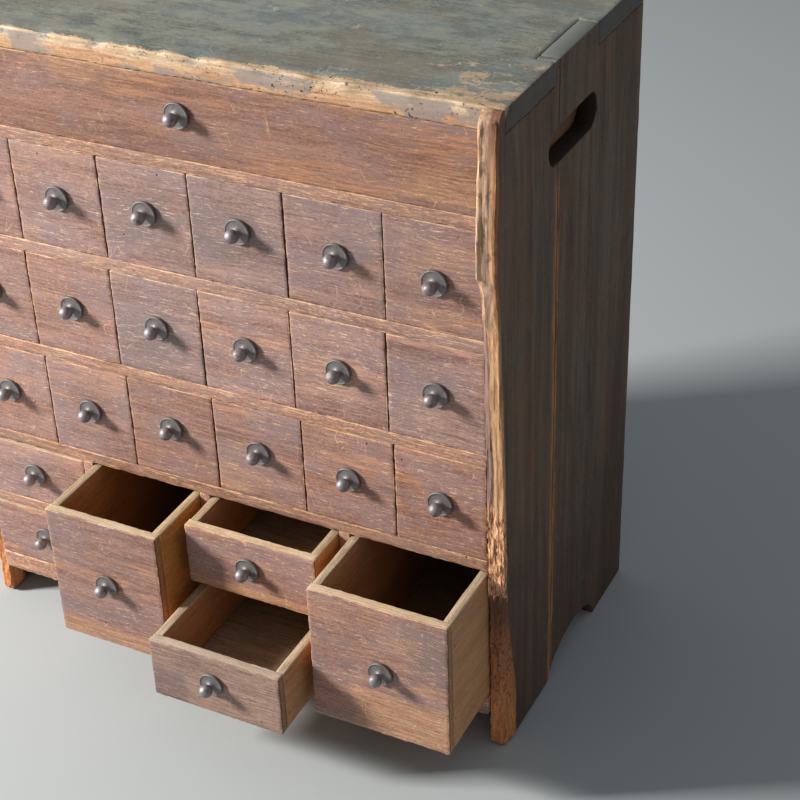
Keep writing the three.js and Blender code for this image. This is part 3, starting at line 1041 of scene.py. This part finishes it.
# %% [markdown]
# ## Knobs
# A knob is turned and filed from iron: a round rose with a raised rim, a short neck and a ball, on a
# shank that goes through the front to a nut. Its outline is drawn by extruding one point from place to
# place, and spun about its axis. One knob is made and copied for all the drawers.

# %% Outline of a knob
rose_radius = 0.013
ball_radius = 0.0067
ball_middle = 0.0122
shank_radius = 0.0025


def knob_outline():
    """Pairs of radius and reach, from the hidden end of the shank to the tip of the ball."""
    outline = [
        (0, -0.0143), (0.0021, -0.0143), (shank_radius, -0.0138), (shank_radius, 0.0003),
        (0.0122, 0.0003), (rose_radius - 0.0002, 0.0006), (rose_radius, 0.0012),
        (rose_radius, 0.0026), (0.0128, 0.0032), (0.0123, 0.0035), (0.0118, 0.0034), (0.0114, 0.0031),
        (0.0100, 0.0030), (0.0070, 0.0031), (0.0052, 0.0034), (0.0044, 0.0040), (0.0037, 0.0046),
        (0.0031, 0.0052), (0.0030, 0.0058),
    ]
    start = math.asin(0.0034 / ball_radius)
    steps = 11
    for step in range(steps + 1):
        angle = start + (math.pi - start) * step / steps
        radius = ball_radius * math.sin(angle)
        outline.append((max(radius, 0), ball_middle - ball_radius * math.cos(angle)))
    return outline


# %% Spin it
def spin_piece(name, outline, sides):
    """A closed round solid about the Y axis, reaching towards -Y."""
    bpy.ops.object.select_all(action="DESELECT")
    bpy.ops.mesh.primitive_plane_add(size=0.001, location=(0, 0, 0))
    piece = bpy.context.object
    piece.name = name
    bpy.ops.object.mode_set(mode="EDIT")
    bpy.ops.mesh.select_mode(type="VERT")
    bpy.ops.mesh.select_all(action="SELECT")
    bpy.ops.mesh.merge(type="CENTER")
    last = Vector((0, 0, 0))
    for index, (radius, reach) in enumerate(outline):
        point = Vector((radius, -reach, 0))
        if index == 0:
            bpy.ops.transform.translate(value=point - last)
        else:
            bpy.ops.mesh.extrude_vertices_move(TRANSFORM_OT_translate={"value": point - last})
        last = point
    bpy.ops.mesh.select_all(action="SELECT")
    bpy.ops.mesh.spin(steps=sides, angle=2 * math.pi, center=(0, 0, 0), axis=(0, 1, 0))
    bpy.ops.mesh.select_all(action="SELECT")
    bpy.ops.mesh.remove_doubles(threshold=0.00002)
    bpy.ops.mesh.normals_make_consistent(inside=False)
    bpy.ops.object.mode_set(mode="OBJECT")
    return piece


knob_pattern = spin_piece("knob_pattern", knob_outline(), 36)
store(knob_pattern, "rose", (points_of(knob_pattern)[:, 1] > -0.0049).astype(float))
smooth(knob_pattern, 50)
print("knob pattern:", len(knob_pattern.data.polygons), "faces")

# %% The nut behind it
nut_radius = 0.0055
nut_thickness = 0.003
bpy.ops.object.select_all(action="DESELECT")
bpy.ops.mesh.primitive_cylinder_add(
    vertices=6, radius=nut_radius, depth=nut_thickness,
    location=(0, front_thickness + 0.0003 + nut_thickness / 2, 0), rotation=(math.pi / 2, 0, 0))
nut_pattern = bpy.context.object
bpy.ops.object.transform_apply(location=True, rotation=True, scale=True)
round_arrises(nut_pattern, 0.0005, 2)
store(nut_pattern, "rose", np.zeros(len(nut_pattern.data.vertices)))
smooth(nut_pattern, 30)

# %% A knob and a nut for every drawer
for name in drawer_names:
    low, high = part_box(name + "_knob")
    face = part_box(name)[0].y
    middle = Vector(((low.x + high.x) / 2, face, (low.z + high.z) / 2))
    knob = copy_piece(knob_pattern, name + "_pull", middle)
    hand_over(knob, body_of_node[name], "dark_iron", iron, name + "_knob")
    nut = copy_piece(nut_pattern, name + "_nut", middle)
    hand_over(nut, body_of_node[name], "dark_iron", iron, name + "_knob")

bpy.data.objects.remove(knob_pattern)
bpy.data.objects.remove(nut_pattern)

# %% [markdown]
# ## Shelves and dividers
# Each row stands on a shelf whose front edge shows between the fronts, worn pale by the drawers. The
# dividers stand behind the fronts and are hardly seen.

# %% Shelves
shelf_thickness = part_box("top_shelf")[1].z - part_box("top_shelf")[0].z
floor_gap = 0.0005


def shelf_board(name, node, low, high, tone):
    piece = start_block(name, low, high)
    cut_grid(piece, (0.006, 0.02, 0.0045))
    round_arrises(piece, 0.0012)
    weigh(piece, "rim", rim_nearness(piece, low, high, 0.005))
    wear_down(piece, chip_pattern, 0.0007, "rim")
    wear_down(piece, dent_pattern, 0.0003)
    apply_all(piece)
    keep_within(piece, low, high)
    keep_grain(piece, low, high, "x", tone)
    smooth(piece)
    return hand_over(piece, "carcass", "worn_shelf", shelf_wood, node)


for node, tone in {"top_shelf": (-0.7, 0.2, 0.2), "upper_shelf": (-0.4, -0.2, 0.3),
                   "middle_shelf": (-0.1, 0.2, 0.6), "lower_shelf": (-0.8, 0.4, 0.0)}.items():
    low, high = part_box(node)
    shelf_board(node + "_board", node, low, Vector((high.x, high.y, low.z + shelf_thickness)), tone)

# %% Dividers between the small drawers
for row in ("upper", "middle", "lower"):
    shelf_low, shelf_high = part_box(row + "_shelf")
    for column in range(1, 6):
        line = (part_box(f"{row}_drawer_{column}")[1].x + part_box(f"{row}_drawer_{column + 1}")[0].x) / 2
        low = (line - half_divider, front_plane + front_thickness + 0.001, shelf_low.z + shelf_thickness)
        high = (line + half_divider, shelf_high.y, shelf_high.z)
        board = plain_board(f"{row}_divider_{column}", low, high, "y", 0.03)
        hand_over(board, "carcass", "worn_shelf", shelf_wood, row + "_shelf")

# %% Base: bottom board, bay dividers and half shelves
rack_low, rack_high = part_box("base_rack")
bottom_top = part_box("base_drawer_4")[0].z - floor_gap
bottom_high = Vector((rack_high.x, rack_high.y, bottom_top))
shelf_board("bottom_board", "base_rack", rack_low, bottom_high, (-0.4, 0.2, 0))

bays = [("base_drawer_1_lower", "base_drawer_2"), ("base_drawer_2", "base_drawer_3_lower"),
        ("base_drawer_3_lower", "base_drawer_4")]
bay_lines = [rack_low.x]
for index, (left_drawer, right_drawer) in enumerate(bays, 1):
    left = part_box(left_drawer)[1].x + side_gap
    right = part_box(right_drawer)[0].x - side_gap
    bay_lines += [left, right]
    low, high = (left, rack_low.y, bottom_top), (right, rack_high.y, rack_high.z)
    board = plain_board(f"bay_divider_{index}", low, high, "y", 0.012, 0.001, 0.0006, (-0.4, 0.1, 0))
    hand_over(board, "carcass", "worn_shelf", shelf_wood, "base_rack")

head_gap = 0.003
for bay in (1, 3):
    lower_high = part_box(f"base_drawer_{bay}_lower")[1]
    upper_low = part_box(f"base_drawer_{bay}_upper")[0]
    low = (bay_lines[2 * bay - 2], rack_low.y, lower_high.z + head_gap)
    high = (bay_lines[2 * bay - 1], rack_high.y, upper_low.z - floor_gap)
    board = plain_board(f"half_shelf_{bay}", low, high, "x", 0.012, 0.001, 0.0006, (-0.2, 0.3, 0))
    hand_over(board, "carcass", "worn_shelf", shelf_wood, "base_rack")

# %% [markdown]
# ## Sides
# Each side is two planks glued edge to edge. It has a finger up through the top board, a hand hold cut
# across the joint, and an arch that leaves two feet. The outline is cut from one block with boolean
# cutters, then split along the joint.

# %% Outline of a side
finger_setback = 0.108   # from the front plane
finger_length = 0.098
hold_setback, hold_length, hold_height, hold_drop = 0.094, 0.114, 0.035, 0.080
front_foot, rear_foot, arch_height = 0.112, 0.085, 0.035
board_gap = 0.0003       # between boards of the carcass
edge_start = 0.014       # how far the front edge stands proud before it is worn
over = 0.01              # how far a cutter reaches beyond what it cuts


def cut_away(piece, cutter):
    """Take one solid out of another, and remove the cutter."""
    modifier = piece.modifiers.new("cut", "BOOLEAN")
    modifier.operation = "DIFFERENCE"
    modifier.solver = "EXACT"
    modifier.object = cutter
    apply_all(piece)
    bpy.data.objects.remove(cutter)


def side_block(name, low, high):
    shoulder = top_low.z - board_gap
    piece = start_block(name, (low.x, front_plane - edge_start, low.z), high)
    finger_front = front_plane + finger_setback
    finger_back = finger_front + finger_length
    for first, last in ((front_plane - board_gap, finger_front), (finger_back, high.y + over)):
        far = (high.x + over, last, high.z + over)
        cut_away(piece, start_block("cutter", (low.x - over, first, shoulder), far))

    bpy.ops.object.select_all(action="DESELECT")
    depth = high.y - front_plane
    arch_radius = (depth - front_foot - rear_foot) / 2
    bpy.ops.mesh.primitive_cylinder_add(
        vertices=40, radius=1, depth=0.06, rotation=(0, math.pi / 2, 0),
        location=((low.x + high.x) / 2, front_plane + front_foot + arch_radius, 0))
    cutter = bpy.context.object
    bpy.ops.object.transform_apply(location=False, rotation=True, scale=True)
    cutter.scale = (1, arch_radius, arch_height)
    bpy.ops.object.transform_apply(location=True, rotation=True, scale=True)
    cut_away(piece, cutter)

    first = front_plane + hold_setback
    middle = high.z - hold_drop
    cutter = start_block(
        "cutter", (low.x - over, first, middle - hold_height / 2),
        (high.x + over, first + hold_length, middle + hold_height / 2))
    edit_edges(cutter)
    select_along(cutter, 0)
    bpy.ops.mesh.bevel(offset=hold_height / 2 - 0.0002, segments=8, affect="EDGES")
    bpy.ops.object.mode_set(mode="OBJECT")
    cut_away(piece, cutter)
    return piece


# %% Split along the joint, and cut the faces into a grid
def slice_off(piece, place, keep_front):
    """Cut at depth y=place and keep the front or the rear part."""
    pick_only(piece)
    bpy.ops.object.mode_set(mode="EDIT")
    bpy.ops.mesh.select_all(action="SELECT")
    bpy.ops.mesh.bisect(
        plane_co=(0, place, 0), plane_no=(0, 1, 0), use_fill=True,
        clear_outer=keep_front, clear_inner=not keep_front)
    bpy.ops.object.mode_set(mode="OBJECT")


def score(piece, axis, places):
    """Cut straight across the whole piece at each place on the axis."""
    pick_only(piece)
    bpy.ops.object.mode_set(mode="EDIT")
    normal = [0, 0, 0]
    normal[axis] = 1
    for place in places:
        point = [0, 0, 0]
        point[axis] = place
        bpy.ops.mesh.select_all(action="SELECT")
        bpy.ops.mesh.bisect(plane_co=point, plane_no=normal)
    bpy.ops.object.mode_set(mode="OBJECT")


# %% The worn line of the front edge
# Each pair is a height above the floor and, in turn: how far proud of the drawers the edge stands, what
# its inner half adds to that, and how far its outer corner is worn across the board and back along it.
edge_line = (
    (0, -0.0035), (0.03, -0.003), (0.06, -0.0048), (0.09, -0.0035), (0.14, -0.0022),
    (0.19, -0.0025), (0.204, 0.0008), (0.25, 0), (0.34, 0.0035), (0.418, 0.008),
    (0.51, 0.014), (0.55, 0.0185), (0.60, 0.0195), (0.64, 0.0175), (0.70, 0.014),
)
inner_line = ((0, 0), (0.30, 0.001), (0.35, -0.003), (0.40, -0.001), (0.46, -0.004), (0.505, -0.006),
              (0.535, -0.004), (0.550, 0.0015), (0.60, 0.0022), (0.612, 0.0008), (0.70, 0))
strip_start, strip_step = 0.74, 0.10     # the inner strip, as shares of the board from its outer face
bottom_round, head_round = 0.008, 0.012  # how far in the foot and the lip's head are rounded
corner_across = ((0, 0.007), (0.03, 0.009), (0.12, 0.008), (0.195, 0.003), (0.25, 0.002), (0.70, 0.003))
corner_along = ((0, 0.022), (0.03, 0.030), (0.115, 0.020), (0.195, 0.005), (0.25, 0.003), (0.70, 0.004))


def read_line(line, heights):
    """The line's value at each height."""
    return np.interp(heights, [pair[0] for pair in line], [pair[1] for pair in line])


def shape_front_edge(piece, low, high):
    """Wear a straight front edge down to its line and round its outer corner. Returns how deep each
    point lies behind the worn edge."""
    places = points_of(piece)
    height = places[:, 2]
    outer, inward = (high.x, -1) if high.x > 0 else (low.x, 1)
    inside = np.abs(places[:, 0] - outer)
    inner_share = np.clip((inside / (high.x - low.x) - strip_start) / strip_step, 0, 1)
    proud = read_line(edge_line, height) + inner_share * read_line(inner_line, height)
    pivot = np.where(height > top_low.z - 0.001, front_plane - board_gap, front_plane + 0.06)
    start = front_plane - edge_start
    share = np.clip((pivot - places[:, 1]) / (pivot - start), 0, 1)
    places[:, 1] -= (proud - edge_start) * share
    depth = places[:, 1] - (front_plane - proud)

    across, along = read_line(corner_across, height), read_line(corner_along, height)
    u, v = inside / across, depth / along
    within = (u < 1) & (v < 1)
    level = np.minimum(u, v)
    angle = (1 - (u - level) + (v - level)) / 2 * math.pi / 2
    arc_u, arc_v = 1 - np.sin(angle), 1 - np.cos(angle)
    new_u, new_v = arc_u + level * (1 - arc_u), arc_v + level * (1 - arc_v)
    places[:, 0] = np.where(within, outer + inward * new_u * across, places[:, 0])
    places[:, 1] = np.where(within, front_plane - proud + new_v * along, places[:, 1])

    # The foot's bottom corners are rounded by years of dragging
    near = np.minimum(np.minimum(inside, (high.x - low.x) - inside), np.abs(depth))
    beyond = np.clip(1 - near / bottom_round, 0, 1)
    places[:, 2] += (1 - np.sqrt(1 - beyond ** 2)) * np.clip(1 - height / 0.012, 0, 1) * 0.007

    # The head of the lip in front of the top is rounded over
    at_head = np.clip((height - top_low.z) / (high.z - top_low.z), 0, 1)
    places[:, 2] -= at_head * np.clip(1 - depth / head_round, 0, 1) ** 2 * 0.008
    move_points(piece, places)
    return depth


# %% Long splits in the front edge
bpy.ops.object.empty_add(location=(0, 0, 0))
fibre_frame = bpy.context.object
fibre_frame.name = "fibre_frame"
fibre_frame.scale = (1, 1, 26)
bpy.context.view_layer.update()
split_pattern = cloud_pattern("splits", 0.0030, 3.0, 0.75)
splinter_pattern = cloud_pattern("splinters", 0.007, 2.4, 0.8)


def steps_between(first, last, step):
    count = max(1, round((last - first) / step))
    return [first + (last - first) * index / count for index in range(1, count)]


seam_half_gap = 0.0004
edge_cuts = (0.0025, 0.0055, 0.009, 0.013, 0.018, 0.026, 0.036, 0.05, 0.07)  # behind the front edge


def side_plank(side, part):
    low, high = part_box(side)
    seam = front_plane + seam_setback
    piece = side_block(f"{side}_{part}_plank", low, high)
    first = part == "front"
    slice_off(piece, seam - seam_half_gap if first else seam + seam_half_gap, first)
    round_arrises(piece, 0.0012, 2)
    plank_low = Vector((low.x, front_plane if first else seam, low.z))
    plank_high = Vector((high.x, seam if first else high.y, high.z))
    score(piece, 2, steps_between(low.z, high.z, 0.004 if first else 0.012))
    behind_edge = None
    if first:
        start = front_plane - edge_start
        score(piece, 1, [start + cut for cut in edge_cuts])
        score(piece, 0, steps_between(low.x, high.x, 0.00136))
        behind_edge = shape_front_edge(piece, low, high)
        height = points_of(piece)[:, 2]
        front_share = np.clip(1 - behind_edge / 0.007, 0, 1)
        weigh(piece, "front_edge", front_share)
        rough = np.clip(1 - np.abs(height - 0.245) / 0.06, 0, 1)
        weigh(piece, "rough_part", front_share * rough)
        weigh(piece, "foot", np.clip(1 - behind_edge / 0.02, 0, 1) * np.clip((0.2 - height) / 0.02, 0, 1))
        wear_down(piece, split_pattern, 0.0010, "front_edge", frame_object=fibre_frame)
        wear_down(piece, splinter_pattern, 0.0006, "front_edge")
        wear_down(piece, splinter_pattern, 0.0014, "rough_part")
        wear_down(piece, chip_pattern, 0.0014, "foot")
    else:
        score(piece, 1, steps_between(plank_low.y, plank_high.y, 0.02))
    wear_down(piece, dent_pattern, 0.0005)
    apply_all(piece)
    keep_within(piece, low, high, "xz")
    places = points_of(piece)
    # Painted shade: the faces inside the hand hold are darkened almost to black
    hold_front = front_plane + hold_setback
    soot = np.abs(places[:, 2] - (high.z - hold_drop)) < hold_height / 2 + 0.0004
    soot &= (places[:, 1] > hold_front - 0.0004) & (places[:, 1] < hold_front + hold_length + 0.0004)
    outer = high.x if high.x > 0 else low.x
    soot &= np.abs(places[:, 0] - outer) > 0.0006
    keep_grain(piece, plank_low, plank_high, "z", skin="+x" if low.x > 0 else "-x", soot=soot * 0.96)
    store(piece, "edge", np.full(len(places), 1.0) if behind_edge is None else behind_edge)
    smooth(piece, 50)
    return hand_over(piece, "carcass", "dark_plank", side_wood, side)


for side in ("side_left", "side_right"):
    for part in ("front", "rear"):
        plank = side_plank(side, part)
        print(plank.name, len(plank.data.polygons), "faces")

# %% [markdown]
# ## Top board
# The top laps over the sides and is notched for their fingers. Its front edge has lost its paint and is
# eaten by worm.

# %% Top board
top_piece = start_block("top_plank", top_low, top_high)
for side_low, side_high in (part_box("side_left"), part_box("side_right")):
    notch_front = front_plane + finger_setback - board_gap
    notch_back = notch_front + finger_length + 2 * board_gap
    less, more = (board_gap, over) if side_low.x > 0 else (over, board_gap)
    cutter = start_block(
        "cutter", (side_low.x - less, notch_front, top_low.z - over),
        (side_high.x + more, notch_back, top_high.z + over))
    cut_away(top_piece, cutter)
round_arrises(top_piece, 0.0018, 2)
score(top_piece, 0, steps_between(top_low.x, top_high.x, 0.005))
front_cuts = (0.003, 0.006, 0.009, 0.014, 0.02, 0.03)    # closer together where the worm has been
score(top_piece, 1, [top_low.y + cut for cut in front_cuts])
score(top_piece, 1, steps_between(top_low.y + front_cuts[-1], top_high.y, 0.014))
score(top_piece, 2, steps_between(top_low.z, top_high.z, 0.0035))
top_points = points_of(top_piece)
upper_front = np.hypot(top_points[:, 1] - top_low.y, top_points[:, 2] - top_high.z)
weigh(top_piece, "upper_front", np.clip(1 - upper_front / 0.012, 0, 1))
weigh(top_piece, "rim", rim_nearness(top_piece, top_low, top_high, 0.006))
wear_down(top_piece, dent_pattern, 0.0045, "upper_front")
wear_down(top_piece, chip_pattern, 0.0008, "rim")
apply_all(top_piece)
keep_within(top_piece, top_low, top_high)
keep_grain(top_piece, top_low, top_high, "x", skin="+z")
smooth(top_piece)
hand_over(top_piece, "carcass", "aged_top", top_wood, "top_board")

# %% [markdown]
# ## Back
# Two wide boards close the back between the sides, each held by nine nails.

# %% Back boards
for node in ("back_board_lower", "back_board_upper"):
    low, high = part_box(node)
    board = plain_board(node + "_plank", low, high, "x", 0.012, 0.001, 0.0006)
    hand_over(board, "carcass", "raw_back", back_wood, node)
    middle = (low.x + high.x) / 2
    rows = [low.z + (high.z - low.z) * share for share in (0.12, 0.5, 0.88)]
    places = [(x, high.y, z) for x in (low.x + 0.012, middle, high.x - 0.012) for z in rows]
    nail_heads(node + "_nails", "carcass", places, (0, 1, 0), node)

bpy.data.objects.remove(fibre_frame)
